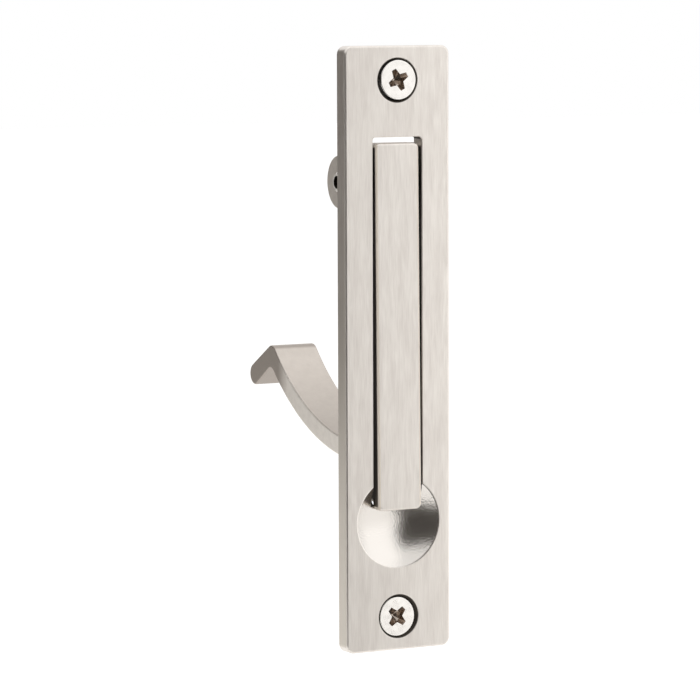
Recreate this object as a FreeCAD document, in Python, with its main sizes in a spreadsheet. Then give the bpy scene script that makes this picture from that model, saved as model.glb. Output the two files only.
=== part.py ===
import FreeCAD, Part
import os
import Sketcher

# Edge pull for a pocket door: a slotted face plate with a hinged lever let into it. Millimetres.
# The origin is the centre of the plate's back face, which lies on the door's edge.
# +X runs across the plate, +Y into the door and +Z up, so the front face looks along -Y.

SIZES = {
    # Face plate
    "plate_width": 19.05,
    "plate_height": 98.4,
    "plate_thickness": 2.7,
    "plate_corner_radius": 1.4,
    "plate_edge_round": 0.35,
    "edge_break": 0.12,
    # Slot for the lever, measured up and down from the plate's centre
    "slot_width": 8.9,
    "slot_top": 34.5,
    "slot_drop": 25.5,
    "slot_top_corner": 0.45,
    "slot_bottom_corner": 1.4,
    "swing_clearance": 0.3,
    # Finger dish, a spherical cap
    "dish_drop": 28.1,
    "dish_diameter": 15.0,
    "dish_depth": 2.1,
    # Pivot: two ears behind the plate and a slotted spring pin
    "pivot_height": 27.1,
    "pivot_setback": 4.3,
    "ear_radius": 4.3,
    "ear_thickness": 2.55,
    "ear_root_round": 0.5,
    "pin_diameter": 3.175,
    "pin_wall": 0.6,
    "pin_slit": 0.7,
    "pin_slit_angle": 125,
    "pin_projection": 0.5,
    "pin_chamfer": 0.25,
    "pin_running_clearance": 0.05,
    # Lever: the bar in the slot
    "bar_side_gap": 0.45,
    "bar_top_gap": 1.0,
    "bar_lap": 0.7,
    "bar_thickness": 3.0,
    "tip_thickness": 1.8,
    "tip_step_gap": 0.45,
    "bar_corner_radius": 1.0,
    "bar_edge_round": 0.45,
    "bar_rest_gap": 0.2,
    "lever_edge_round": 0.25,
    # Lever: the lug round the pin and the tail that swings about it
    "lug_radius": 3.9,
    "lug_width": 7.0,
    "lug_root_round": 0.8,
    "tail_radius": 42.7,
    "tail_thickness": 3.3,
    "tail_sweep": 48.2,
    "tail_root_round": 0.8,
    # Lever: the hooked lip at the tail's end
    "lip_length": 9.2,
    "lip_thickness": 3.65,
    "lip_slope": 28.4,
    "lip_root_setback": 3.3,
    "lip_ridge_round": 2.2,
    "lip_root_round": 1.5,
    # Flat head screws
    "screw_inset": 5.55,
    "screw_hole_diameter": 4.2,
    "sink_diameter": 7.2,
    "sink_angle": 82,
    "screw_head_diameter": 6.4,
    "screw_rim": 0.3,
    "screw_seat_gap": 0.02,
    "screw_neck_diameter": 3.0,
    "screw_neck_reach": 0.15,
    "screw_shank_diameter": 3.5,
    "screw_length": 19.05,
    "screw_point": 3.5,
    "recess_span": 3.6,
    "recess_wing": 0.8,
    "recess_depth": 1.3,
}

doc = FreeCAD.newDocument("edge_pull")
sheet = doc.addObject("Spreadsheet::Sheet", "dims")
for row, (alias, size) in enumerate(SIZES.items(), start=1):
    sheet.set(f"A{row}", alias)
    sheet.set(f"B{row}", str(size))
    sheet.setAlias(f"B{row}", alias)
doc.recompute()

# Sizes that follow from the driving ones
BAR_WIDTH = "(dims.slot_width - 2 * dims.bar_side_gap)"
BAR_FRONT = "(dims.pivot_setback + dims.plate_thickness)"
BAR_BACK = f"({BAR_FRONT} - dims.bar_thickness)"
TIP_BACK = f"({BAR_FRONT} - dims.tip_thickness)"

# The slot reaches high enough for the bar to back the whole of the lug
LUG_REACH = "(dims.pivot_height + dims.lug_radius + dims.lug_root_round + dims.bar_corner_radius)"
SLOT_TOP = f"max(dims.slot_top; {LUG_REACH} + dims.bar_top_gap)"
BAR_RISE = f"({SLOT_TOP} - dims.bar_top_gap - dims.pivot_height)"
BAR_FALL = "(dims.pivot_height + dims.slot_drop + dims.bar_lap)"
TIP_STEP = "(dims.pivot_height + dims.slot_drop - dims.tip_step_gap)"
EAR_SPAN = "(dims.slot_width + 2 * dims.ear_thickness)"

# The bar's top front edge sweeps this far from the pivot axis
SWING_RADIUS = (
    f"(sqrt(({BAR_FRONT} - dims.bar_edge_round)^2 + ({BAR_RISE} - dims.bar_edge_round)^2)"
    " + dims.bar_edge_round)"
)

# The dish is part of a sphere. The bar fills the slot, and its tip is stepped thinner to lap the
# dish: it rests by its sides on the floor at the slot's lower end, which leaves the lever leaning
# a little way out of the plate.
DISH_RADIUS = "(dims.dish_diameter / 2)"
DISH_SPHERE = f"(({DISH_RADIUS}^2 + dims.dish_depth^2) / (2 * dims.dish_depth))"
REST_DEPTH = (
    f"(dims.dish_depth - {DISH_SPHERE} + sqrt({DISH_SPHERE}^2"
    f" - (dims.dish_drop - dims.slot_drop)^2 - ({BAR_WIDTH} / 2)^2))"
)
REST_LEAN = (
    f"asin((dims.tip_thickness + dims.bar_rest_gap - {REST_DEPTH})"
    " / (dims.pivot_height + dims.slot_drop))"
)

# The tail's faces are arcs about the pivot axis, and the lip leaves them at a corner
TAIL_OUTER = "(dims.tail_radius + dims.tail_thickness)"
TAIL_TOP_Z = f"-sqrt(dims.tail_radius^2 - {BAR_BACK}^2)"
TAIL_LOW_Z = f"-sqrt({TAIL_OUTER}^2 - {BAR_BACK}^2)"
LIP_ROOT_SWEEP = "(dims.tail_sweep - dims.lip_root_setback)"
RIDGE_Y = "dims.tail_radius * sin(dims.tail_sweep)"
RIDGE_Z = "-dims.tail_radius * cos(dims.tail_sweep)"
NOSE_TOP_Y = f"{RIDGE_Y} + dims.lip_length * cos(dims.lip_slope)"
NOSE_TOP_Z = f"{RIDGE_Z} - dims.lip_length * sin(dims.lip_slope)"
NOSE_LOW_Y = f"{NOSE_TOP_Y} - dims.lip_thickness * sin(dims.lip_slope)"
NOSE_LOW_Z = f"{NOSE_TOP_Z} - dims.lip_thickness * cos(dims.lip_slope)"
NOSE_Y = f"{NOSE_TOP_Y} - dims.lip_thickness / 2 * sin(dims.lip_slope)"
NOSE_Z = f"{NOSE_TOP_Z} - dims.lip_thickness / 2 * cos(dims.lip_slope)"
LIP_ROOT_Y = f"{TAIL_OUTER} * sin({LIP_ROOT_SWEEP})"
LIP_ROOT_Z = f"-{TAIL_OUTER} * cos({LIP_ROOT_SWEEP})"

# A screw head lies in its countersink, cone on cone
SCREW_LEVEL = "(dims.plate_height / 2 - dims.screw_inset)"
SINK_SLOPE = "tan(dims.sink_angle / 2)"
HEAD_RIM = (
    "(-dims.plate_thickness - dims.screw_seat_gap"
    f" + (dims.sink_diameter - dims.screw_head_diameter) / 2 / {SINK_SLOPE})"
)
HEAD_TOP = f"({HEAD_RIM} - dims.screw_rim)"
HEAD_END = f"({HEAD_RIM} + (dims.screw_head_diameter - dims.screw_neck_diameter) / 2 / {SINK_SLOPE})"
SCREW_TIP = f"({HEAD_TOP} + dims.screw_length)"

X_AXIS = FreeCAD.Vector(1, 0, 0)
Y_AXIS = FreeCAD.Vector(0, 1, 0)
Z_AXIS = FreeCAD.Vector(0, 0, 1)
PAST_FACE = "1"
TOLERANCE = 1e-4


def value(expression):
    """The number that an expression of the sheet's sizes gives."""
    return float(sheet.evalExpression(expression))


def new_body(label):
    body = doc.addObject("PartDesign::Body", label)
    body.Label = label
    return body


def new_sketch(body, plane, name, offset=None):
    """A sketch on one of the body's origin planes, moved by expressions for its own x, y and z."""
    sketch = body.newObject("Sketcher::SketchObject", name)
    support = next(item for item in body.Origin.OriginFeatures if item.Role == plane)
    sketch.AttachmentSupport = [(support, "")]
    sketch.MapMode = "FlatFace"
    for axis, expression in (offset or {}).items():
        sketch.setExpression(f"AttachmentOffset.Base.{axis}", expression)
    return sketch


def bind(sketch, constraint, expression):
    number = sketch.addConstraint(constraint)
    sketch.setExpression(f"Constraints[{number}]", expression)


def fix_point(sketch, item, vertex, x, y):
    """Dimension a point from the sketch's origin; a coordinate of 0 puts it on the axis."""
    for kind, axis, expression in (("DistanceX", -2, x), ("DistanceY", -1, y)):
        if expression is None:
            continue
        if expression == "0":
            sketch.addConstraint(Sketcher.Constraint("PointOnObject", item, vertex, axis))
        else:
            bind(sketch, Sketcher.Constraint(kind, -1, 1, item, vertex, value(expression)), expression)


def arc_between(start, end, centre, turn):
    """An arc from start to end; turn is 1 anticlockwise and -1 clockwise."""
    first, last = (start, end) if turn > 0 else (end, start)
    circle = Part.Circle(centre, Z_AXIS, centre.distanceToPoint(start))
    return Part.ArcOfCircle(circle, circle.parameter(first), circle.parameter(last))


def draw_outline(sketch, corners, arcs=None):
    """A closed outline through corners, given as pairs of expressions.

    arcs maps a side's number to its centre's x and y and its turn; other sides are straight.
    """
    arcs = arcs or {}
    points = [FreeCAD.Vector(value(x), value(y), 0) for x, y in corners]
    ends = []
    for side, start in enumerate(points):
        end = points[(side + 1) % len(points)]
        if side in arcs:
            x, y, turn = arcs[side]
            sketch.addGeometry(arc_between(start, end, FreeCAD.Vector(value(x), value(y), 0), turn))
            ends.append((1, 2) if turn > 0 else (2, 1))
        else:
            sketch.addGeometry(Part.LineSegment(start, end))
            ends.append((1, 2))
    for side, (x, y) in enumerate(corners):
        before = side - 1 if side else len(corners) - 1
        joint = Sketcher.Constraint("Coincident", before, ends[before][1], side, ends[side][0])
        sketch.addConstraint(joint)
        fix_point(sketch, side, ends[side][0], x, y)
    for side, (x, _, _) in arcs.items():
        fix_point(sketch, side, 3, x, None)


def draw_rectangle(sketch, left, right, bottom, top):
    draw_outline(sketch, [(left, bottom), (right, bottom), (right, top), (left, top)])


def draw_circle(sketch, x, y, diameter):
    centre = FreeCAD.Vector(value(x), value(y), 0)
    circle = Part.Circle(centre, Z_AXIS, value(diameter) / 2)
    item = sketch.addGeometry(circle)
    fix_point(sketch, item, 3, x, y)
    bind(sketch, Sketcher.Constraint("Diameter", item, value(diameter)), diameter)


def pad(body, sketch, name, length, symmetric=False, back=False):
    feature = body.newObject("PartDesign::Pad", name)
    feature.Profile = sketch
    feature.setExpression("Length", length)
    feature.SideType = "Symmetric" if symmetric else "One side"
    feature.Reversed = back
    doc.recompute()
    return feature


def pocket(body, sketch, name, length, symmetric=False):
    """Cut a sketch out of the body, and check that it met the body."""
    volume = body.Shape.Volume
    feature = body.newObject("PartDesign::Pocket", name)
    feature.Profile = sketch
    feature.setExpression("Length", length)
    feature.SideType = "Symmetric" if symmetric else "One side"
    doc.recompute()
    assert feature.Shape.Volume < volume - TOLERANCE, f"{name} cuts nothing"
    return feature


def dress_edges(body, kind, name, size, wanted):
    """Fillet or chamfer the edges of the body's last feature for which wanted is true."""
    base = body.Tip
    edges = [f"Edge{n}" for n, edge in enumerate(base.Shape.Edges, start=1) if wanted(edge)]
    assert edges, f"{name} finds no edge"
    feature = body.newObject(f"PartDesign::{kind}", name)
    feature.Base = (base, edges)
    feature.setExpression("Radius" if kind == "Fillet" else "Size", size)
    doc.recompute()
    return feature


def round_edges(body, name, radius, wanted):
    return dress_edges(body, "Fillet", name, radius, wanted)


def break_edges(body, name, size, wanted):
    return dress_edges(body, "Chamfer", name, size, wanted)


def same(first, second):
    return abs(first - second) < TOLERANCE


def runs_along(edge, axis):
    """True for a straight edge that is parallel to an axis."""
    return edge.Curve.TypeId == "Part::GeomLine" and same(abs(edge.Curve.Direction.dot(axis)), 1)


def middle(edge):
    return edge.valueAt((edge.FirstParameter + edge.LastParameter) / 2)


def lies_in(edge, coordinate, level):
    """True for an edge that lies in the plane where a coordinate has the given level."""
    box = edge.BoundBox
    low, high = getattr(box, f"{coordinate}Min"), getattr(box, f"{coordinate}Max")
    return same(low, level) and same(high, level)


def crosses_at(edge, y, z):
    """True for an edge that runs across the part, along X, at a given place."""
    return runs_along(edge, X_AXIS) and same(middle(edge).y, y) and same(middle(edge).z, z)


def build_face_plate():
    body = new_body("face_plate")
    half_width = value("dims.plate_width / 2")
    half_height = value("dims.plate_height / 2")
    half_slot = value("dims.slot_width / 2")

    sketch = new_sketch(body, "XZ_Plane", "plate_outline")
    draw_rectangle(
        sketch, "-dims.plate_width / 2", "dims.plate_width / 2",
        "-dims.plate_height / 2", "dims.plate_height / 2",
    )
    pad(body, sketch, "plate_slab", "dims.plate_thickness")
    round_edges(body, "plate_corners", "dims.plate_corner_radius", lambda edge: runs_along(edge, Y_AXIS))

    # Both ears are one block until the slot parts them
    sketch = new_sketch(body, "YZ_Plane", "ear_profile", {"y": "dims.pivot_height"})
    draw_outline(
        sketch,
        [
            ("-dims.plate_thickness / 2", "-dims.ear_radius"),
            ("dims.pivot_setback", "-dims.ear_radius"),
            ("dims.pivot_setback", "dims.ear_radius"),
            ("-dims.plate_thickness / 2", "dims.ear_radius"),
        ],
        {1: ("dims.pivot_setback", "0", 1)},
    )
    pad(body, sketch, "ear_block", EAR_SPAN, symmetric=True)
    ear_face = value(EAR_SPAN) / 2
    round_edges(
        body, "ear_roots", "dims.ear_root_round",
        lambda edge: lies_in(edge, "Y", 0)
        and abs(middle(edge).x) < ear_face + TOLERANCE
        and abs(middle(edge).z - value("dims.pivot_height")) < value("dims.ear_radius") + TOLERANCE,
    )

    sketch = new_sketch(body, "XZ_Plane", "slot_outline")
    draw_rectangle(
        sketch, "-dims.slot_width / 2", "dims.slot_width / 2", "-dims.slot_drop", SLOT_TOP
    )
    depth = "2 * (dims.plate_thickness + dims.pivot_setback + dims.ear_radius)"
    pocket(body, sketch, "slot", depth, symmetric=True)
    for name, radius, level in (
        ("slot_top_corners", "dims.slot_top_corner", value(SLOT_TOP)),
        ("slot_bottom_corners", "dims.slot_bottom_corner", -value("dims.slot_drop")),
    ):
        round_edges(
            body, name, radius,
            lambda edge: runs_along(edge, Y_AXIS)
            and same(abs(middle(edge).x), half_slot)
            and same(middle(edge).z, level),
        )

    # Behind the front face the slot's top follows the swing of the bar's upper end
    sketch = new_sketch(body, "YZ_Plane", "swing_relief_outline", {"y": "dims.pivot_height"})
    draw_circle(sketch, "dims.pivot_setback", "0", f"2 * ({SWING_RADIUS} + dims.swing_clearance)")
    pocket(body, sketch, "swing_relief", f"{BAR_WIDTH} + 2 * dims.swing_clearance", symmetric=True)

    sketch = new_sketch(body, "YZ_Plane", "pin_bore_outline", {"y": "dims.pivot_height"})
    draw_circle(sketch, "dims.pivot_setback", "0", "dims.pin_diameter")
    pocket(body, sketch, "pin_bore", f"{EAR_SPAN} + 2 * {PAST_FACE}", symmetric=True)

    def on_front(edge):
        return lies_in(edge, "Y", -value("dims.plate_thickness"))

    def on_rim(edge):
        box = edge.BoundBox
        reach_x = max(abs(box.XMin), abs(box.XMax))
        reach_z = max(abs(box.ZMin), abs(box.ZMax))
        return same(reach_x, half_width) or same(reach_z, half_height)

    def on_axis(edge):
        return edge.Curve.TypeId == "Part::GeomCircle" and same(edge.Curve.Center.x, 0)

    break_edges(body, "slot_edges", "dims.edge_break", lambda edge: on_front(edge) and not on_rim(edge))
    round_edges(body, "front_rim", "dims.plate_edge_round", lambda edge: on_front(edge) and on_rim(edge))

    # The sphere that cuts the dish stands in front of the plate
    volume = body.Shape.Volume
    dish = body.newObject("PartDesign::SubtractiveSphere", "finger_dish")
    dish.setExpression("Radius", DISH_SPHERE)
    dish.setExpression("Placement.Base.y", f"dims.dish_depth - dims.plate_thickness - {DISH_SPHERE}")
    dish.setExpression("Placement.Base.z", "-dims.dish_drop")
    doc.recompute()
    assert dish.Shape.Volume < volume - TOLERANCE, "finger_dish cuts nothing"

    sketch = new_sketch(body, "XZ_Plane", "screw_places", {"z": "dims.plate_thickness"})
    for side in ("", "-"):
        draw_circle(sketch, "0", f"{side}{SCREW_LEVEL}", "dims.screw_hole_diameter")
    doc.recompute()
    holes = body.newObject("PartDesign::Hole", "screw_holes")
    holes.Profile = sketch
    holes.ThreadType = "None"
    holes.DepthType = "ThroughAll"
    holes.HoleCutType = "Countersink"
    holes.HoleCutCustomValues = True
    holes.setExpression("Diameter", "dims.screw_hole_diameter")
    holes.setExpression("HoleCutDiameter", "dims.sink_diameter")
    holes.setExpression("HoleCutCountersinkAngle", "dims.sink_angle")
    doc.recompute()

    break_edges(body, "round_openings", "dims.edge_break", lambda edge: on_front(edge) and on_axis(edge))
    return body


def build_pull_lever():
    """One casting of one width, drawn straight about its own pivot axis and then set leaning at rest."""
    body = new_body("pull_lever")
    front = -value(BAR_FRONT)
    back = -value(BAR_BACK)
    rise = value(BAR_RISE)
    fall = -value(BAR_FALL)
    step = -value(TIP_STEP)
    side = value(BAR_WIDTH) / 2
    lug = value("dims.lug_radius")

    sketch = new_sketch(body, "YZ_Plane", "lever_profile")
    draw_outline(
        sketch,
        [
            (f"-{BAR_FRONT}", BAR_RISE),
            (f"-{BAR_FRONT}", f"-{BAR_FALL}"),
            (f"-{TIP_BACK}", f"-{BAR_FALL}"),
            (f"-{TIP_BACK}", f"-{TIP_STEP}"),
            (f"-{BAR_BACK}", f"-{TIP_STEP}"),
            (f"-{BAR_BACK}", TAIL_LOW_Z),
            (LIP_ROOT_Y, LIP_ROOT_Z),
            (NOSE_LOW_Y, NOSE_LOW_Z),
            (NOSE_TOP_Y, NOSE_TOP_Z),
            (RIDGE_Y, RIDGE_Z),
            (f"-{BAR_BACK}", TAIL_TOP_Z),
            (f"-{BAR_BACK}", BAR_RISE),
        ],
        {5: ("0", "0", 1), 7: (NOSE_Y, NOSE_Z, 1), 9: ("0", "0", -1)},
    )
    pad(body, sketch, "lever_blank", BAR_WIDTH, symmetric=True)

    for name, radius, places in (
        ("tail_roots", "dims.tail_root_round", [(back, value(TAIL_TOP_Z)), (back, value(TAIL_LOW_Z))]),
        ("lip_ridge", "dims.lip_ridge_round", [(value(RIDGE_Y), value(RIDGE_Z))]),
        ("lip_root", "dims.lip_root_round", [(value(LIP_ROOT_Y), value(LIP_ROOT_Z))]),
    ):
        round_edges(
            body, name, radius,
            lambda edge: any(crosses_at(edge, y, z) for y, z in places),
        )
    round_edges(
        body, "bar_corners", "dims.bar_corner_radius",
        lambda edge: runs_along(edge, Y_AXIS)
        and same(abs(middle(edge).x), side)
        and any(same(middle(edge).z, level) for level in (rise, step, fall)),
    )
    round_edges(body, "bar_front_edges", "dims.bar_edge_round", lambda edge: lies_in(edge, "Y", front))

    def on_back_outline(edge):
        beside = lies_in(edge, "X", side) or lies_in(edge, "X", -side)
        return beside and edge.BoundBox.YMin > back - TOLERANCE

    round_edges(body, "back_edges", "dims.lever_edge_round", on_back_outline)

    sketch = new_sketch(body, "YZ_Plane", "lug_profile")
    root = f"-({BAR_FRONT} + {BAR_BACK}) / 2"
    draw_outline(
        sketch,
        [
            (root, "-dims.lug_radius"),
            ("0", "-dims.lug_radius"),
            ("0", "dims.lug_radius"),
            (root, "dims.lug_radius"),
        ],
        {1: ("0", "0", 1)},
    )
    pad(body, sketch, "lug", "dims.lug_width", symmetric=True)
    round_edges(
        body, "lug_roots", "dims.lug_root_round",
        lambda edge: crosses_at(edge, back, lug) or crosses_at(edge, back, -lug),
    )
    sketch = new_sketch(body, "YZ_Plane", "lug_bore_outline")
    draw_circle(sketch, "0", "0", "dims.pin_diameter + 2 * dims.pin_running_clearance")
    pocket(body, sketch, "lug_bore", f"dims.lug_width + 2 * {PAST_FACE}", symmetric=True)

    body.setExpression("Placement.Base.y", "dims.pivot_setback")
    body.setExpression("Placement.Base.z", "dims.pivot_height")
    body.setExpression("Placement.Rotation.Axis.x", "-1")
    body.setExpression("Placement.Rotation.Axis.z", "0")
    body.setExpression("Placement.Rotation.Angle", REST_LEAN)
    return body


def build_pivot_pin():
    body = new_body("pivot_pin")
    length = f"({EAR_SPAN} + 2 * dims.pin_projection)"
    sketch = new_sketch(body, "YZ_Plane", "pin_section")
    draw_circle(sketch, "0", "0", "dims.pin_diameter")
    draw_circle(sketch, "0", "0", "dims.pin_diameter - 2 * dims.pin_wall")
    pad(body, sketch, "pin_tube", length, symmetric=True)
    outer = value("dims.pin_diameter / 2")
    break_edges(
        body, "pin_ends", "dims.pin_chamfer",
        lambda edge: edge.Closed and same(edge.Curve.Radius, outer),
    )

    sketch = new_sketch(body, "YZ_Plane", "slit_outline")
    draw_rectangle(sketch, "0", "dims.pin_diameter", "-dims.pin_slit / 2", "dims.pin_slit / 2")
    pocket(body, sketch, "slit", f"{length} + 2 * {PAST_FACE}", symmetric=True)

    body.setExpression("Placement.Base.y", "dims.pivot_setback")
    body.setExpression("Placement.Base.z", "dims.pivot_height")
    body.setExpression("Placement.Rotation.Axis.x", "1")
    body.setExpression("Placement.Rotation.Axis.z", "0")
    body.setExpression("Placement.Rotation.Angle", "dims.pin_slit_angle")
    return body


def build_mounting_screws():
    """The lower screw is turned from its half section; the upper one is its mirror image."""
    lower = new_body("lower_screw")
    level = f"-{SCREW_LEVEL}"
    sketch = new_sketch(lower, "YZ_Plane", "screw_section", {"y": level})
    draw_outline(
        sketch,
        [
            (HEAD_TOP, "0"),
            (SCREW_TIP, "0"),
            (f"{SCREW_TIP} - dims.screw_point", "dims.screw_shank_diameter / 2"),
            ("dims.screw_neck_reach", "dims.screw_shank_diameter / 2"),
            ("dims.screw_neck_reach", "dims.screw_neck_diameter / 2"),
            (HEAD_END, "dims.screw_neck_diameter / 2"),
            (HEAD_RIM, "dims.screw_head_diameter / 2"),
            (HEAD_TOP, "dims.screw_head_diameter / 2"),
        ],
    )
    blank = lower.newObject("PartDesign::Revolution", "screw_blank")
    blank.Profile = sketch
    blank.ReferenceAxis = (sketch, ["H_Axis"])
    blank.Angle = 360
    doc.recompute()

    for name, span, rise in (
        ("recess_across", "dims.recess_span", "dims.recess_wing"),
        ("recess_upright", "dims.recess_wing", "dims.recess_span"),
    ):
        sketch = new_sketch(lower, "XZ_Plane", f"{name}_outline", {"y": level, "z": f"-{HEAD_TOP}"})
        draw_rectangle(sketch, f"-{span} / 2", f"{span} / 2", f"-{rise} / 2", f"{rise} / 2")
        pocket(lower, sketch, name, "dims.recess_depth")

    upper = doc.addObject("Part::Mirroring", "upper_screw")
    upper.Source = lower
    upper.Base = FreeCAD.Vector(0, 0, 0)
    upper.Normal = Z_AXIS
    screws = doc.addObject("Part::Compound", "mounting_screws")
    screws.Label = "mounting_screws"
    screws.Links = [lower, upper]
    return screws


sub_parts = [build_face_plate(), build_pull_lever(), build_pivot_pin(), build_mounting_screws()]
doc.recompute()

for item in doc.Objects:
    faults = [state for state in item.State if state in ("Invalid", "Error")]
    assert not faults, f"{item.Name} failed: {faults}"
for item in sub_parts:
    assert not item.Shape.isNull() and item.Shape.isValid(), f"{item.Label} has no valid shape"

os.makedirs("parts", exist_ok=True)
for item in sub_parts:
    item.Shape.exportStep(f"parts/{item.Label}.step")
    print(item.Label, len(item.Shape.Solids), "solids", round(item.Shape.Volume, 2), "mm3")
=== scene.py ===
import logging
import math
from abc import ABC, abstractmethod
from dataclasses import dataclass, field
from enum import Enum
from typing import Any

import bmesh
import bpy
from mathutils import Matrix, Vector


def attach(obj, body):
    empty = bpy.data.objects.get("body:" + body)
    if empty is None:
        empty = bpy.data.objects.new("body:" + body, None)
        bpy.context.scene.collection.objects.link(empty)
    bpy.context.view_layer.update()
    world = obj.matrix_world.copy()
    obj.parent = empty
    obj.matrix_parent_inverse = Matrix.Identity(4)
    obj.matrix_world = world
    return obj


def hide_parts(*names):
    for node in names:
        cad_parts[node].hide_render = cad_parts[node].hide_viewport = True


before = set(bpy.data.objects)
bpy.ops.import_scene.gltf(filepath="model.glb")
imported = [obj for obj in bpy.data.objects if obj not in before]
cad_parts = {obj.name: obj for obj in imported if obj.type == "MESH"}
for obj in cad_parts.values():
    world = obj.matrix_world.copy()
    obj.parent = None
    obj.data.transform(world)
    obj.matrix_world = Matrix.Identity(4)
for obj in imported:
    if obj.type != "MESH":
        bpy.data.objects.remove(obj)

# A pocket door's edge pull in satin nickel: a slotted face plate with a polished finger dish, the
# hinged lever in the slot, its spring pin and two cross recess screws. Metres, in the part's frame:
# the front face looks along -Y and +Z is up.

MM = 0.001
LOG = logging.getLogger("edge_pull")

Triple = tuple[float, float, float]
Edge = tuple[bpy.types.NodeSocket, float, float]

# Face attribute that is 1 on a screw's recess
RECESS = "recess"

# Most values of a noise lie in the first range, and its high spots in the second
NOISE_SPAN = (0.3, 0.7)
NOISE_SPOTS = (0.35, 0.7)


class Along(Enum):
    """The way a round hollow's axis runs, as the factors that flatten a vector across it."""

    X = (0.0, 1.0, 1.0)
    Y = (1.0, 0.0, 1.0)


def linear(hex_colour: str) -> tuple[float, float, float, float]:
    """Turn an sRGB hex colour into a linear one.

    Args:
        hex_colour: Six hex digits, such as "d8d2cb".

    Returns:
        Red, green, blue and an alpha of 1.
    """
    parts = [int(hex_colour[i:i + 2], 16) / 255 for i in (0, 2, 4)]
    r, g, b = [c / 12.92 if c <= 0.04045 else ((c + 0.055) / 1.055) ** 2.4 for c in parts]
    return r, g, b, 1.0


def add(
    tree: bpy.types.NodeTree, kind: str, inputs: dict[Any, Any] | None = None, **settings: Any
) -> bpy.types.Node:
    """Add a node with its settings, values and links.

    Args:
        tree: The node tree that gets the node.
        kind: The node's type name.
        inputs: A value, or an output socket to link, for each input's name or number.
        settings: Attributes of the node.

    Returns:
        The new node.
    """
    node = tree.nodes.new(kind)
    for name, setting in settings.items():
        setattr(node, name, setting)
    for key, given in (inputs or {}).items():
        if isinstance(given, bpy.types.NodeSocket):
            tree.links.new(given, node.inputs[key])
        else:
            node.inputs[key].default_value = given
    return node


def new_material(name: str) -> tuple[bpy.types.Material, bpy.types.NodeTree]:
    """Make an empty node material.

    Args:
        name: The material's name.

    Returns:
        The material and its node tree.
    """
    material = bpy.data.materials.new(name)
    material.use_nodes = True
    material.node_tree.nodes.clear()
    return material, material.node_tree


@dataclass(frozen=True)
class Place:
    """Where a point lies: its Object coordinates, and what the masks ask about them."""

    vector: bpy.types.NodeSocket
    across: bpy.types.NodeSocket
    depth: bpy.types.NodeSocket
    level: bpy.types.NodeSocket

    @classmethod
    def read(cls, tree: bpy.types.NodeTree) -> "Place":
        """Read a point's place in a material.

        Args:
            tree: The material's tree.

        Returns:
            The place, with the distance from the middle plane, Y and Z.
        """
        vector = add(tree, "ShaderNodeTexCoord").outputs["Object"]
        axes = add(tree, "ShaderNodeSeparateXYZ", {0: vector}).outputs
        across = add(tree, "ShaderNodeMath", {0: axes["X"]}, operation="ABSOLUTE")
        return cls(vector, across.outputs[0], axes["Y"], axes["Z"])


def radius_from(
    tree: bpy.types.NodeTree, vector: bpy.types.NodeSocket, centre: Triple, along: Along
) -> bpy.types.NodeSocket:
    """Measure a point's distance from an axis.

    Args:
        tree: The material's tree.
        vector: The point.
        centre: A point on the axis.
        along: The way the axis runs.

    Returns:
        The distance.
    """
    offset = add(tree, "ShaderNodeVectorMath", {0: vector, 1: centre}, operation="SUBTRACT")
    flat = add(
        tree, "ShaderNodeVectorMath", {0: offset.outputs[0], 1: along.value}, operation="MULTIPLY"
    )
    away = add(tree, "ShaderNodeVectorMath", {0: flat.outputs[0]}, operation="LENGTH")
    return away.outputs["Value"]


def region(tree: bpy.types.NodeTree, edges: list[Edge]) -> bpy.types.NodeSocket:
    """Find where each of several values is past its edge.

    Args:
        tree: The material's tree.
        edges: For each edge a value, the level where the region starts and the level where it is
            full, which is the lower one if the region lies below the edge.

    Returns:
        1 inside, 0 outside and a soft step between.
    """
    inside: Any = 1.0
    for given, start, full in edges:
        step = add(tree, "ShaderNodeMapRange", {0: given, 1: start, 2: full}).outputs[0]
        inside = add(tree, "ShaderNodeMath", {0: inside, 1: step}, operation="MULTIPLY").outputs[0]
    return inside


@dataclass(frozen=True)
class Coat:
    """What a surface shows: its colour, roughness and height, each a value or a socket."""

    colour: Any
    rough: Any
    height: Any = None

    def covered(
        self, tree: bpy.types.NodeTree, share: bpy.types.NodeSocket, colour: Any = None,
        rough: Any = None, height: Any = None,
    ) -> "Coat":
        """Cover the coat in part by another.

        Args:
            tree: The material's tree.
            share: How much of the other shows, from 0 to 1.
            colour: The other's colour, or None to keep this one's.
            rough: Its roughness, or None.
            height: Its height, or None.

        Returns:
            The coat that then shows.
        """
        parts = {"colour": self.colour, "rough": self.rough, "height": self.height}
        if colour is not None:
            mixed = add(
                tree, "ShaderNodeMix", {"Factor": share, 6: self.colour, 7: colour}, data_type="RGBA"
            )
            parts["colour"] = mixed.outputs["Result"]
        for part, other in (("rough", rough), ("height", height)):
            if other is not None:
                parts[part] = add(tree, "ShaderNodeMix", {0: share, 2: parts[part], 3: other}).outputs[0]
        return Coat(**parts)


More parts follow.
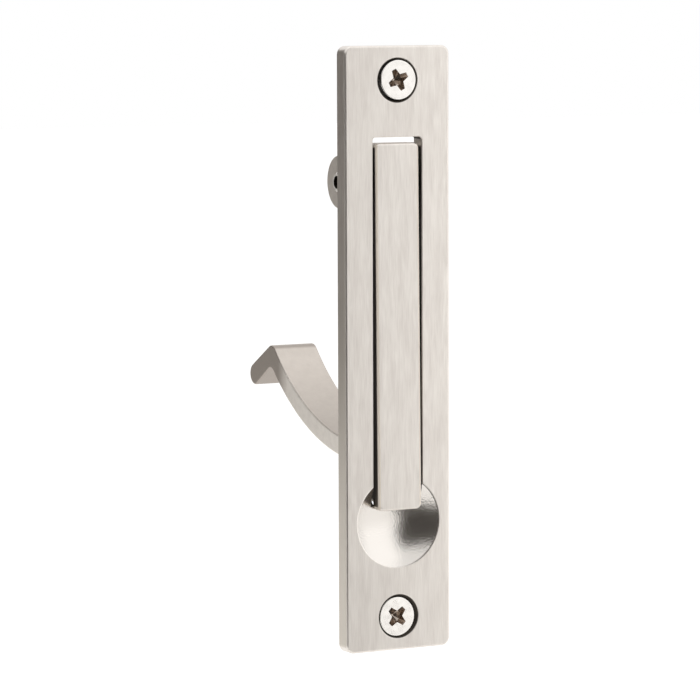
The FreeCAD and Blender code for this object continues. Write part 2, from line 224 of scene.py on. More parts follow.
@dataclass(frozen=True)
class SatinNickel(ABC):
    """Nickel plate brushed upright with a fine belt, which gives soft streaks along the grain.

    Walls deep in the slot get painted shade, a dark and dull colour. Backs are only blasted
    before plating, which leaves an even, greyer satin with soft spots of grime.
    """

    name: str
    colour: str = "ece6df"
    streak_colour: str = "dfd8d1"
    roughness: float = 0.34
    rough_swing: float = 0.05
    tone_span: tuple[float, float] = (0.75, 1.25)
    # A belt's scratches are nearer 0.03 mm wide: they are drawn coarser, so that they show
    scratch: tuple[float, float] = (0.16 * MM, 3.2 * MM)
    band: tuple[float, float] = (1.2 * MM, 9.0 * MM)
    scratch_detail: float = 3.0
    band_detail: float = 2.0
    noise_roughness: float = 0.6
    relief: float = 0.08
    relief_depth: float = 0.02 * MM
    cast_colour: str = "cec6be"
    cast_roughness: float = 0.45
    # Blasting grit is about 0.1 mm: its mottle is drawn coarser, so that it shows
    cast_grit: float = 1.4 * MM
    cast_detail: float = 5.0
    grime_and_shade_colour: str = "8f867e"
    grime_share: float = 0.12
    # Painted shade: the dark, dull colour on walls deep in the slot and in the screws' sinks
    dull_and_shade_colour: str = "4a453f"
    dull_roughness: float = 0.55
    soft: float = 0.06 * MM
    side_skin: float = 0.02 * MM

    def build(self) -> bpy.types.Material:
        """Make the material.

        Returns:
            A metal whose finishes are parted by Object coordinates.
        """
        material, tree = new_material(self.name)
        place = Place.read(tree)
        coat = self._finish(tree, place, self._brushed(tree, place))
        bump = add(
            tree, "ShaderNodeBump",
            {"Height": coat.height, "Strength": self.relief, "Distance": self.relief_depth},
        )
        shader = add(
            tree, "ShaderNodeBsdfPrincipled",
            {
                "Base Color": coat.colour, "Roughness": coat.rough, "Metallic": 1.0,
                "Normal": bump.outputs[0],
            },
        )
        add(tree, "ShaderNodeOutputMaterial", {"Surface": shader.outputs[0]})
        return material

    @abstractmethod
    def _finish(self, tree: bpy.types.NodeTree, place: Place, brushed: Coat) -> Coat:
        """Lay the other finishes of a piece over its brushed front.

        Args:
            tree: The material's tree.
            place: The point's place.
            brushed: The front's coat.

        Returns:
            The coat of the whole piece.
        """

    def _brushed(self, tree: bpy.types.NodeTree, place: Place) -> Coat:
        """Brush the nickel.

        Args:
            tree: The material's tree.
            place: The point's place.

        Returns:
            The brushed coat.
        """
        scratches = self._streaks(tree, place, self.scratch, self.scratch_detail)
        bands = self._streaks(tree, place, self.band, self.band_detail)
        low, high = NOISE_SPAN
        rough = add(
            tree, "ShaderNodeMapRange",
            {
                0: scratches, 1: low, 2: high,
                3: self.roughness - self.rough_swing, 4: self.roughness + self.rough_swing,
            },
        )
        # Scratches catch a little less light, and bands are where the belt pressed harder
        tone = add(tree, "ShaderNodeMath", {0: scratches, 1: bands}, operation="ADD").outputs[0]
        streaks = region(tree, [(tone, *self.tone_span)])
        coat = Coat(linear(self.colour), rough.outputs[0], scratches)
        return coat.covered(tree, streaks, colour=linear(self.streak_colour))

    def _streaks(
        self, tree: bpy.types.NodeTree, place: Place, size: tuple[float, float], detail: float
    ) -> bpy.types.NodeSocket:
        """Noise drawn out upright, along the grain.

        Args:
            tree: The material's tree.
            place: The point's place.
            size: The streaks' width and length.
            detail: Octaves of finer streaks.

        Returns:
            A value about 0.5.
        """
        width, length = size
        drawn = add(
            tree, "ShaderNodeMapping",
            {"Vector": place.vector, "Scale": (1.0 / width, 1.0 / width, 1.0 / length)},
        )
        noise = add(
            tree, "ShaderNodeTexNoise",
            {
                "Vector": drawn.outputs[0], "Scale": 1.0, "Detail": detail,
                "Roughness": self.noise_roughness,
            },
        )
        return noise.outputs["Fac"]

    def _blasted(self, tree: bpy.types.NodeTree, place: Place) -> Coat:
        """Blast and plate the metal.

        Args:
            tree: The material's tree.
            place: The point's place.

        Returns:
            The blasted coat, still clean.
        """
        blast = add(
            tree, "ShaderNodeTexNoise",
            {
                "Vector": place.vector, "Scale": 1.0 / self.cast_grit, "Detail": self.cast_detail,
                "Roughness": self.noise_roughness,
            },
        )
        return Coat(linear(self.cast_colour), self.cast_roughness, blast.outputs["Fac"])

    def _soiled(self, tree: bpy.types.NodeTree, blasted: Coat) -> Coat:
        """Dull a blasted coat in its high spots.

        Args:
            tree: The material's tree.
            blasted: The clean coat.

        Returns:
            The coat with its grime.
        """
        low, high = NOISE_SPOTS
        spots = add(
            tree, "ShaderNodeMapRange", {0: blasted.height, 1: low, 2: high, 4: self.grime_share}
        )
        return blasted.covered(tree, spots.outputs[0], colour=linear(self.grime_and_shade_colour))


@dataclass(frozen=True)
class PlateNickel(SatinNickel):
    """The plate's nickel, brushed round a dish that a buffing wheel has polished to mirror the room.

    The screws' sinks and the slot's walls get painted shade, except above the bar, where light
    comes in over the bar's top.
    The long sides darken with painted shade downwards from 28 mm above the middle, and the back and
    ears are pale from blasting.
    """

    plate: "FacePlate" = field(kw_only=True)
    cast_colour: str = "ece5dd"
    dish_colour: str = "ded9d3"
    dish_roughness: float = 0.21
    dish_relief: float = 26.0
    # A buffed surface ripples over about 0.1 mm: it is drawn coarser, so that it shows
    dish_grit: float = 0.3 * MM
    dish_detail: float = 2.0
    dish_margin: float = 0.1 * MM
    # Painted shade on the long sides, darker towards the bottom
    low_side_shade: str = "cbc4ba"
    low_side_shade_levels: tuple[float, float] = (28.0 * MM, 0.0)
    hollow_skin: float = 0.01 * MM
    slot_margin: float = 0.03 * MM
    slot_edge: tuple[float, float] = (0.2 * MM, 0.4 * MM)
    slot_end: tuple[float, float] = (0.05 * MM, 0.15 * MM)
    clear_from: tuple[float, float] = (1.7 * MM, 1.3 * MM)
    clear_until: tuple[float, float] = (0.35 * MM, 0.5 * MM)

    def _finish(self, tree: bpy.types.NodeTree, place: Place, brushed: Coat) -> Coat:
        """Polish the dish, lay painted shade on the sides and walls and blast the back.

        Args:
            tree: The material's tree.
            place: The point's place.
            brushed: The front's coat.

        Returns:
            The coat of the whole plate.
        """
        ripple = add(
            tree, "ShaderNodeTexNoise",
            {
                "Vector": place.vector, "Scale": 1.0 / self.dish_grit, "Detail": self.dish_detail,
                "Roughness": self.noise_roughness,
            },
        )
        pits = add(tree, "ShaderNodeMapRange", {0: ripple.outputs["Fac"], 4: self.dish_relief})
        coat = brushed.covered(
            tree, self._dish(tree, place), linear(self.dish_colour), self.dish_roughness,
            pits.outputs[0],
        )
        # The long sides' painted shade, full below the plate's middle
        side = self.plate.half_width - self.side_skin
        low_sides = region(tree, [(place.across, side - self.soft, side), (place.level, *self.low_side_shade_levels)])
        coat = coat.covered(tree, low_sides, colour=linear(self.low_side_shade))
        back = self._soiled(tree, self._blasted(tree, place))
        behind = region(tree, [(place.depth, -self.soft, 0.0)])
        coat = coat.covered(tree, behind, back.colour, back.rough, back.height)
        # Painted shade: a dark, dull colour on the slot's walls and in the screws' sinks
        walls = add(
            tree, "ShaderNodeMath", {0: self._slot(tree, place), 1: self._sinks(tree, place)},
            operation="MAXIMUM",
        )
        coat = coat.covered(
            tree, walls.outputs[0], colour=linear(self.dull_and_shade_colour), rough=self.dull_roughness
        )
        # The painted shade is left off the slot's wall above the bar, where light comes in over the
        # bar's top
        clear = self._clear_wall(tree, place)
        return coat.covered(tree, clear, colour=linear(self.colour), rough=self.roughness)

    def _dish(self, tree: bpy.types.NodeTree, place: Place) -> bpy.types.NodeSocket:
        """Find the dish: inside its rim and below the front face.

        Args:
            tree: The material's tree.
            place: The point's place.

        Returns:
            1 in the dish and 0 outside it.
        """
        plate = self.plate
        away = radius_from(tree, place.vector, plate.dish_centre, Along.Y)
        rim = plate.dish_radius + self.dish_margin
        return region(tree, [
            (away, rim, rim - self.soft),
            (place.depth, plate.front + self.hollow_skin, plate.front + self.soft),
        ])

    def _slot(self, tree: bpy.types.NodeTree, place: Place) -> bpy.types.NodeSocket:
        """Find the slot's walls, from a little below the front face.

        Args:
            tree: The material's tree.
            place: The point's place.

        Returns:
            1 on the walls and 0 elsewhere.
        """
        top = self.plate.slot_top
        return region(tree, self._inner_edges(place) + [
            (place.level, self.plate.slot_bottom - self.soft, self.plate.slot_bottom),
            (place.level, top - self.slot_end[0], top - self.slot_end[1]),
        ])

    def _clear_wall(self, tree: bpy.types.NodeTree, place: Place) -> bpy.types.NodeSocket:
        """Find the slot's wall above the bar, up to the slot's round corner.

        Args:
            tree: The material's tree.
            place: The point's place.

        Returns:
            1 there and 0 elsewhere.
        """
        top = self.plate.slot_top
        return region(tree, self._inner_edges(place) + [
            (place.depth, -self.soft, -2 * self.soft),
            (place.level, top - self.clear_from[0], top - self.clear_from[1]),
            (place.level, top - self.clear_until[0], top - self.clear_until[1]),
        ])

    def _inner_edges(self, place: Place) -> list[Edge]:
        """Bound the slot by its two long walls and a depth a little below the front face.

        Args:
            place: The point's place.

        Returns:
            Edges for a region.
        """
        wall = self.plate.slot_half_width + self.slot_margin
        front = self.plate.front
        return [
            (place.across, wall + self.soft, wall),
            (place.depth, front + self.slot_edge[0], front + self.slot_edge[1]),
        ]

    def _sinks(self, tree: bpy.types.NodeTree, place: Place) -> bpy.types.NodeSocket:
        """Find the screws' sinks, which lie alike above and below the plate's middle.

        Args:
            tree: The material's tree.
            place: The point's place.

        Returns:
            1 in the sinks and 0 elsewhere.
        """
        plate = self.plate
        mirrored = add(tree, "ShaderNodeVectorMath", {0: place.vector}, operation="ABSOLUTE").outputs[0]
        away = radius_from(tree, mirrored, (0.0, 0.0, plate.screw_level), Along.Y)
        rim = plate.sink_radius + self.soft
        return region(tree, [
            (away, rim + self.soft, rim),
            (place.depth, plate.front + self.hollow_skin, plate.front + self.soft),
            (place.depth, -self.soft, -2 * self.soft),
        ])


@dataclass(frozen=True)
class LeverNickel(SatinNickel):
    """The lever's nickel, brushed on the bar's front, whose long edges get a pale painted highlight.

    The bar's sides get painted shade, dark and dull. The tail is only blasted: painted shade darkens
    it towards the plate and under its lip, and painted light brightens its sides from the plate up to
    the lip.
    """

    lever: "PullLever" = field(kw_only=True)
    # Painted shade on the bar's sides inside the slot
    dull_and_shade_colour: str = "6e6760"
    # Painted shade on the tail towards the plate
    near_plate_shade: str = "b1a89f"
    # Painted shade under the lip
    lip_shade: str = "aea59d"
    # Painted shade on the tail's sides at the lip
    tail_side_shade: str = "b0a79e"
    # Painted light: a pale band on the bar's long edges and on the tail's sides near the plate
    painted_light_colour: str = "faf4ec"
    edge_roughness: float = 0.9
    edge_width: float = 0.42 * MM
    back_from: tuple[float, float] = (-2.0 * MM, -1.8 * MM)
    bar_until: tuple[float, float] = (0.9 * MM, 0.3 * MM)
    shaded_near: tuple[float, float] = (32.0 * MM, 3.0 * MM)
    lit_until: tuple[float, float] = (33.5 * MM, 30.0 * MM)
    lip_under: tuple[float, float] = (0.8 * MM, 1.2 * MM)
    lip_fade: float = 0.4 * MM

    def _finish(self, tree: bpy.types.NodeTree, place: Place, brushed: Coat) -> Coat:
        """Paint a highlight on the bar's edges, paint shade on its sides and blast its back and the
        tail.

        Args:
            tree: The material's tree.
            place: The point's place.
            brushed: The front's coat.

        Returns:
            The coat of the whole lever.
        """
        # Painted highlight: a pale, rough band along the bar's long front edges
        edge = self.lever.bar_half_width - self.edge_width
        edge_highlight = region(tree, [(place.across, edge - self.soft, edge)])
        coat = brushed.covered(
            tree, edge_highlight, colour=linear(self.painted_light_colour), rough=self.edge_roughness
        )
        side = self.lever.bar_half_width - self.side_skin
        flank = (place.across, side - self.soft, side)
        tail = self._soiled(tree, self._tail(tree, place, region(tree, [flank])))
        behind = region(tree, [(place.depth, *self.back_from)])
        coat = coat.covered(tree, behind, tail.colour, tail.rough, tail.height)
        # Painted shade: a dark, dull colour on the bar's sides
        dull = region(tree, [flank, (place.depth, *self.bar_until)])
        return coat.covered(tree, dull, colour=linear(self.dull_and_shade_colour), rough=self.dull_roughness)

    def _tail(self, tree: bpy.types.NodeTree, place: Place, flanks: bpy.types.NodeSocket) -> Coat:
        """Paint light and shade on the blasted tail.

        Args:
            tree: The material's tree.
            place: The point's place.
            flanks: 1 on the lever's sides and 0 elsewhere.

        Returns:
            The tail's coat before its spots of grime.
        """
        tail = self._blasted(tree, place)
        # Painted shade under the lip
        tail = tail.covered(tree, self._lip(tree, place), colour=linear(self.lip_shade))
        # Painted shade on the tail towards the plate
        shaded = region(tree, [(place.depth, *self.shaded_near)])
        tail = tail.covered(tree, shaded, colour=linear(self.near_plate_shade))
        # The tail's sides: painted light from the plate up to 30 mm, painted shade at the lip
        lit_share = region(tree, [(place.depth, *self.lit_until)])
        sides = Coat(linear(self.tail_side_shade), self.cast_roughness)
        sides = sides.covered(tree, lit_share, colour=linear(self.painted_light_colour))
        return tail.covered(tree, flanks, colour=sides.colour)

    def _lip(self, tree: bpy.types.NodeTree, place: Place) -> bpy.types.NodeSocket:
        """Find the hooked lip's underside.

        Args:
            tree: The material's tree.
            place: The point's place.

        Returns:
            1 there and 0 elsewhere.
        """
        lever = self.lever
        slope = math.radians(lever.lip_slope)
        across_lip = (0.0, math.sin(slope), math.cos(slope))
        height = add(
            tree, "ShaderNodeVectorMath", {0: place.vector, 1: across_lip}, operation="DOT_PRODUCT"
        ).outputs["Value"]
        return region(tree, [
            (height, lever.lip_middle - self.lip_under[0], lever.lip_middle - self.lip_under[1]),
            (place.depth, lever.lip_start, lever.lip_start + self.lip_fade),
        ])


@dataclass(frozen=True)
class PlatedSteel:
    """Bright plated steel, whose plating leaves a slight mottle in its shine.

    Oil, dust and painted shade darken the driver's recess.
    """

    name: str
    colour: str = "f0ece7"
    dull_and_shade_colour: str = "ebe7e2"
    roughness: float = 0.2
    rough_swing: tuple[float, float] = (0.04, 0.06)
    # The plating's grain is about 0.1 mm: it is drawn coarser, so that it shows
    speck: float = 0.9 * MM
    speck_detail: float = 2.0
    speck_roughness: float = 0.5
    # Painted shade and grime in the driver's recess
    grime_and_shade_colour: str = "b9ada2"

    def build(self) -> bpy.types.Material:
        """Make the material.

        Returns:
            A metal with a slight mottle and a hollow darkened by grime and painted shade.
        """
        material, tree = new_material(self.name)
        place = Place.read(tree)
        mottle = add(
            tree, "ShaderNodeTexNoise",
            {
                "Vector": place.vector, "Scale": 1.0 / self.speck, "Detail": self.speck_detail,
                "Roughness": self.speck_roughness,
            },
        ).outputs["Fac"]
        low, high = NOISE_SPAN
        rough = add(
            tree, "ShaderNodeMapRange",
            {
                0: mottle, 1: low, 2: high,
                3: self.roughness - self.rough_swing[0], 4: self.roughness + self.rough_swing[1],
            },
        )
        coat = Coat(linear(self.colour), rough.outputs[0])
        coat = coat.covered(
            tree, region(tree, [(mottle, *NOISE_SPOTS)]), colour=linear(self.dull_and_shade_colour)
        )
        # Painted shade and grime in the hollow: the screws' recess and the pin's bore
        coat = coat.covered(tree, self._hollow(tree, place), colour=linear(self.grime_and_shade_colour))
        shader = add(
            tree, "ShaderNodeBsdfPrincipled",
            {"Base Color": coat.colour, "Roughness": coat.rough, "Metallic": 1.0},
        )
        add(tree, "ShaderNodeOutputMaterial", {"Surface": shader.outputs[0]})
        return material

    def _hollow(self, tree: bpy.types.NodeTree, place: Place) -> bpy.types.NodeSocket:
        """Find the driver's recess, by the attribute that marks it.

        Args:
            tree: The material's tree.
            place: The point's place, which this finish doesn't need.

        Returns:
            1 in the recess and 0 elsewhere.
        """
        return add(tree, "ShaderNodeAttribute", attribute_name=RECESS).outputs["Fac"]


@dataclass(frozen=True)
class SpringSteel(PlatedSteel):
    """Bare spring steel, rolled into a pin: a pale, matt rim round a bore darkened by painted shade and
    old oil.
    """

    pin: "PivotPin" = field(kw_only=True)
    colour: str = "f4f1ec"
    dull_and_shade_colour: str = "e0dcd6"
    roughness: float = 0.62
    speck: float = 0.4 * MM
    # Painted shade and old oil in the bore
    grime_and_shade_colour: str = "2e2a26"
    bore_edge: tuple[float, float] = (0.06 * MM, 0.03 * MM)

    def _hollow(self, tree: bpy.types.NodeTree, place: Place) -> bpy.types.NodeSocket:
        """Find the pin's bore.

        Args:
            tree: The material's tree.
            place: The point's place.

        Returns:
            1 on the bore's wall and 0 elsewhere.
        """
        away = radius_from(tree, place.vector, self.pin.centre, Along.X)
        bore = self.pin.bore_radius
        # Painted shade and old oil on the bore's wall
        return region(tree, [(away, bore + self.bore_edge[0], bore + self.bore_edge[1])])


def dress(node: bpy.types.Object, material: bpy.types.Material) -> None:
    """Give a CAD node its finish.

    Args:
        node: The node's object.
        material: The finish.
    """
    if node.data.materials:
        for index in range(len(node.data.materials)):
            node.data.materials[index] = material
    else:
        node.data.materials.append(material)


@dataclass
class FacePlate:
    """The slotted plate with its dish, its ears and the sinks of its screws."""

    node: bpy.types.Object
    front: float = -2.7 * MM
    half_width: float = 9.525 * MM
    slot_half_width: float = 4.45 * MM
    slot_bottom: float = -25.5 * MM
    slot_top: float = 34.5 * MM
    dish_centre: Triple = (0.0, 0.0, -28.1 * MM)
    dish_radius: float = 7.5 * MM
    screw_level: float = 43.65 * MM
    sink_radius: float = 3.6 * MM

    def dress(self) -> None:
        """Brush the plate and polish its dish."""
        dress(self.node, PlateNickel("brushed_nickel_plate", plate=self).build())


@dataclass
class PullLever:
    """The bar in the slot and its curved tail with the hooked lip, one casting."""

    node: bpy.types.Object
    bar_half_width: float = 4.0 * MM
    lip_slope: float = 28.4
    lip_middle: float = 15.95 * MM
    lip_start: float = 34.6 * MM

    def dress(self) -> None:
        """Brush the lever along its bar."""
        dress(self.node, LeverNickel("brushed_nickel_lever", lever=self).build())


@dataclass
class PivotPin:
    """The slotted spring pin."""

    node: bpy.types.Object
    centre: Triple = (0.0, 4.3 * MM, 27.1 * MM)
    bore_radius: float = 0.99 * MM

    def dress(self) -> None:
        """Give the pin its bare spring steel."""
        dress(self.node, SpringSteel("bare_spring_steel", pin=self).build())


@dataclass
class Screw:
    """One flat head cross recess wood screw, along +Y about its own axis.

    Lengths run from the plate's back face, as in the part's frame.
    """

    head_top: float = -2.56 * MM
    head_rim: float = -2.26 * MM
    head_radius: float = 3.2 * MM
    rim_round: float = 0.12 * MM
    rim_steps: int = 4
    neck_start: float = -0.304 * MM
    neck_radius: float = 1.5 * MM
    thread_start: float = 0.15 * MM
    neck_taper: tuple[float, float] = (0.1 * MM, 0.2 * MM)
    root_radius: float = 1.27 * MM
    crest_radius: float = 1.75 * MM
    point_start: float = 12.99 * MM
    tip: float = 16.49 * MM
    pitch: float = 1.4 * MM
    recess_span: float = 3.6 * MM
    recess_wing: float = 0.8 * MM
    recess_core: float = 0.95 * MM
    recess_depth: float = 1.7 * MM
    cutter_stand: float = 0.3 * MM
    cutter_flare: float = 1.06
    cutter_waist: tuple[float, float] = (0.7, 0.6)
    cutter_point: float = 0.12
    recess_skin: float = 0.01 * MM
    steps: int = 64

    def profile(self) -> list[tuple[float, float]]:
        """Trace half of the screw without its thread.

        Returns:
            Pairs of distance along the axis and radius, from the head's middle to the tip.
        """
        points = [(self.head_top, 0.0)]
        for turn in range(self.rim_steps + 1):
            angle = math.pi / 2 * turn / self.rim_steps
            points.append((
                self.head_top + self.rim_round * (1 - math.cos(angle)),
                self.head_radius - self.rim_round * (1 - math.sin(angle)),
            ))
        points += [
            (self.head_rim, self.head_radius),
            (self.neck_start, self.neck_radius),
            (self.thread_start - self.neck_taper[0], self.neck_radius),
            (self.thread_start + self.neck_taper[1], self.root_radius),
            (self.point_start, self.root_radius),
            (self.tip, 0.0),
        ]
        return points

    def turned_mesh(self) -> bpy.types.Mesh:
        """Revolve the profile about the screw's axis.

        Returns:
            A closed mesh.
        """
        shape = bmesh.new()
        rings: list[list[bmesh.types.BMVert]] = []
        for along, radius in self.profile():
            if radius == 0.0:
                rings.append([shape.verts.new((0.0, along, 0.0))])
                continue
            rings.append([
                shape.verts.new((
                    radius * math.cos(math.tau * step / self.steps), along,
                    radius * math.sin(math.tau * step / self.steps),
                ))
                for step in range(self.steps)
            ])
        for before, after in zip(rings, rings[1:]):
            for step in range(self.steps):
                following = (step + 1) % self.steps
                if len(before) == 1:
                    shape.faces.new((before[0], after[step], after[following]))
                elif len(after) == 1:
                    shape.faces.new((before[following], before[step], after[0]))
                else:
                    shape.faces.new((before[following], before[step], after[step], after[following]))
        bmesh.ops.recalc_face_normals(shape, faces=shape.faces)
        return self._to_mesh(shape, "screw_blank")

    def recess_mesh(self) -> bpy.types.Mesh:
        """Shape the driver's point: four tapered wings round a tapered core.

        Returns:
            A closed mesh that stands a little out of the head.
        """
        shape = bmesh.new()
        half_span, half_wing = self.recess_span / 2, self.recess_wing / 2
        inner = self.recess_core * math.cos(math.pi / 4)
        outline: list[tuple[float, float]] = []
        for quarter in range(4):
            turn = Matrix.Rotation(math.pi / 2 * quarter, 2)
            for x, z in ((half_span, -half_wing), (half_span, half_wing), (inner, inner)):
                spot = turn @ Vector((x, z))
                outline.append((spot.x, spot.y))
        waist_depth, waist_size = self.cutter_waist
        levels = (
            (-self.cutter_stand, self.cutter_flare), (0.0, 1.0),
            (self.recess_depth * waist_depth, waist_size), (self.recess_depth, self.cutter_point),
        )
        rings = [
            [shape.verts.new((x * size, self.head_top + along, z * size)) for x, z in outline]
            for along, size in levels
        ]
        count = len(outline)
        for before, after in zip(rings, rings[1:]):
            for step in range(count):
                following = (step + 1) % count
                shape.faces.new((before[step], before[following], after[following], after[step]))
        shape.faces.new(rings[0])
        shape.faces.new(rings[-1])
        bmesh.ops.recalc_face_normals(shape, faces=shape.faces)
        return self._to_mesh(shape, "recess_cutter")

    def build(self) -> bpy.types.Object:
        """Turn the blank and cut its recess.

        Returns:
            An object that holds one screw without its thread.
        """
        blank = bpy.data.objects.new("screw_blank", self.turned_mesh())
        cutter = bpy.data.objects.new("recess_cutter", self.recess_mesh())
        for item in (blank, cutter):
            bpy.context.scene.collection.objects.link(item)
        cut = blank.modifiers.new("recess", "BOOLEAN")
        cut.operation, cut.solver, cut.object = "DIFFERENCE", "EXACT", cutter
        bake_modifiers(blank)
        bpy.data.objects.remove(cutter)
        self._mark_recess(blank.data)
        return blank

    def _mark_recess(self, mesh: bpy.types.Mesh) -> None:
        """Note which faces line the recess.

        Args:
            mesh: The screw's mesh, which gets a face attribute.
        """
        marks = mesh.attributes.new(RECESS, "FLOAT", "FACE")
        floor = self.head_top + self.recess_depth
        for face in mesh.polygons:
            x, y, z = face.center
            near_axis = math.hypot(x, z) < self.recess_span / 2
            sunk = self.head_top + self.recess_skin < y < floor + self.recess_skin
            marks.data[face.index].value = 1.0 if near_axis and sunk else 0.0

    @staticmethod
    def _to_mesh(shape: bmesh.types.BMesh, name: str) -> bpy.types.Mesh:
        """Write a bmesh to a new mesh and free it.

        Args:
            shape: The bmesh.
            name: The mesh's name.

        Returns:
            The mesh.
        """
        mesh = bpy.data.meshes.new(name)
        shape.to_mesh(mesh)
        shape.free()
        return mesh


def bake_modifiers(item: bpy.types.Object) -> None:
    """Replace an object's mesh by what its modifiers make of it.

    Args:
        item: The object, which keeps its name and loses its modifiers.
    """
    bpy.context.view_layer.update()
    evaluated = item.evaluated_get(bpy.context.evaluated_depsgraph_get())
    mesh = bpy.data.meshes.new_from_object(evaluated)
    item.modifiers.clear()
    item.data = mesh


@dataclass
class MountingScrews:
    """Two screws, each set by hand: turned, a little off centre and a little proud."""

    level: float
    screw: Screw = field(default_factory=Screw)
    lower_turn: float = -46.0
    upper_turn: float = -27.0
    lower_shift: Triple = (-0.24 * MM, -0.05 * MM, -0.09 * MM)
    upper_shift: Triple = (0.16 * MM, -0.18 * MM, 0.03 * MM)
    lower_tilt: tuple[float, float] = (-2.0, 2.0)
    upper_tilt: tuple[float, float] = (-1.0, 1.0)
    bare_shank: float = 0.35 * MM
    threaded_point: float = 0.86
    flank_width: float = 2.0
    flank_height: float = 0.8
    spiral_steps: int = 28
    point_radius: float = 0.1 * MM
    point_crest: float = 0.25

    def build(self) -> bpy.types.Object:
        """Thread one screw, set two of them in the plate and dress them.

        Returns:
            The finished pair, one mesh.
        """
        pair = self.screw.build()
        pair.name = pair.data.name = "cross_recess_screws"
        finish = PlatedSteel("bright_plated_screw").build()
        self._set_in_plate(pair, finish)
        for face in pair.data.polygons:
            face.use_smooth = False
        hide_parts("mounting_screws")
        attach(pair, "plate")
        return pair

    def _set_in_plate(self, pair: bpy.types.Object, finish: bpy.types.Material) -> None:
        """Run the screw through a node tree that threads it and copies it to its two holes.

        Args:
            pair: The object that holds one screw, and afterwards both.
            finish: The screws' material.
        """
        screw = self.screw
        start = screw.thread_start + self.bare_shank
        sizes: dict[str, tuple[str, Any]] = {
            "Root Radius": ("NodeSocketFloat", screw.root_radius),
            "Thread Height": ("NodeSocketFloat", screw.crest_radius - screw.root_radius),
            "Thread Start": ("NodeSocketFloat", start),
            "Thread Length": ("NodeSocketFloat", screw.point_start - start),
            "Point Length": ("NodeSocketFloat", (screw.tip - screw.point_start) * self.threaded_point),
            "Pitch": ("NodeSocketFloat", screw.pitch),
            "Level": ("NodeSocketFloat", self.level),
            "Lower Turn": ("NodeSocketVector", self._turn(self.lower_turn, self.lower_tilt)),
            "Upper Turn": ("NodeSocketVector", self._turn(self.upper_turn, self.upper_tilt)),
            "Lower Shift": ("NodeSocketVector", self.lower_shift),
            "Upper Shift": ("NodeSocketVector", self.upper_shift),
            "Finish": ("NodeSocketMaterial", finish),
        }
        tree = bpy.data.node_groups.new("threaded_pair", "GeometryNodeTree")
        tree.interface.new_socket("Geometry", in_out="INPUT", socket_type="NodeSocketGeometry")
        tree.interface.new_socket("Geometry", in_out="OUTPUT", socket_type="NodeSocketGeometry")
        keys = {
            name: tree.interface.new_socket(name, in_out="INPUT", socket_type=kind).identifier
            for name, (kind, _) in sizes.items()
        }
        self._wire(tree)
        modifier = pair.modifiers.new("threaded_pair", "NODES")
        modifier.node_group = tree
        for name, (_, size) in sizes.items():
            modifier[keys[name]] = size
        bake_modifiers(pair)

    @staticmethod
    def _turn(turn: float, tilt: tuple[float, float]) -> Triple:
        """Give a screw's turn about its axis and its tilt as Euler angles in radians."""
        return math.radians(tilt[0]), math.radians(turn), math.radians(tilt[1])

    def _wire(self, tree: bpy.types.NodeTree) -> None:
        """Lay out the node tree.

        Args:
            tree: A tree with its inputs and output declared.
        """
        given = add(tree, "NodeGroupInput").outputs
        flank = add(tree, "GeometryNodeCurvePrimitiveQuadrilateral", mode="KITE")
        for name, ratio in (
            ("Width", self.flank_width), ("Bottom Height", self.flank_height),
            ("Top Height", self.flank_height),
        ):
            size = add(
                tree, "ShaderNodeMath", {0: given["Thread Height"], 1: ratio}, operation="MULTIPLY"
            )
            tree.links.new(size.outputs[0], flank.inputs[name])

        turns = add(
            tree, "ShaderNodeMath", {0: given["Thread Length"], 1: given["Pitch"]}, operation="DIVIDE"
        )
        body = add(
            tree, "GeometryNodeCurveSpiral",
            {
                "Resolution": self.spiral_steps, "Rotations": turns.outputs[0],
                "Start Radius": given["Root Radius"], "End Radius": given["Root Radius"],
                "Height": given["Thread Length"],
            },
        )
        end_turns = add(
            tree, "ShaderNodeMath", {0: given["Point Length"], 1: given["Pitch"]}, operation="DIVIDE"
        )
        point = add(
            tree, "GeometryNodeCurveSpiral",
            {
                "Resolution": self.spiral_steps, "Rotations": end_turns.outputs[0],
                "Start Radius": given["Root Radius"], "End Radius": self.point_radius,
                "Height": given["Point Length"],
            },
        )
        swept = []
        for path, last in ((body, 1.0), (point, self.point_crest)):
            upright = add(
                tree, "GeometryNodeSetCurveNormal", {"Curve": path.outputs[0]}, mode="Z_UP"
            )
            along = add(tree, "GeometryNodeSplineParameter")
            slim = add(tree, "ShaderNodeMapRange", {0: along.outputs["Factor"], 3: 1.0, 4: last})
            swept.append(add(
                tree, "GeometryNodeCurveToMesh",
                {
                    "Curve": upright.outputs[0], "Profile Curve": flank.outputs[0],
                    "Fill Caps": True, "Scale": slim.outputs[0],
                },
            ))
        onward = add(tree, "ShaderNodeCombineXYZ", {"Z": given["Thread Length"]})
        # The point's thread carries on where the shank's ends
        spin = add(tree, "ShaderNodeMath", {0: turns.outputs[0], 1: math.tau}, operation="MULTIPLY")
        spun = add(tree, "ShaderNodeCombineXYZ", {"Z": spin.outputs[0]})
        follow = add(
            tree, "GeometryNodeTransform",
            {
                "Geometry": swept[1].outputs[0], "Translation": onward.outputs[0],
                "Rotation": spun.outputs[0],
            },
        )
        thread = add(tree, "GeometryNodeJoinGeometry")
        tree.links.new(swept[0].outputs[0], thread.inputs[0])
        tree.links.new(follow.outputs[0], thread.inputs[0])
        start = add(tree, "ShaderNodeCombineXYZ", {"Y": given["Thread Start"]})
        laid = add(
            tree, "GeometryNodeTransform",
            {
                "Geometry": thread.outputs[0], "Translation": start.outputs[0],
                "Rotation": (-math.pi / 2, 0.0, 0.0),
            },
        )
        whole = add(tree, "GeometryNodeJoinGeometry")
        tree.links.new(given["Geometry"], whole.inputs[0])
        tree.links.new(laid.outputs[0], whole.inputs[0])

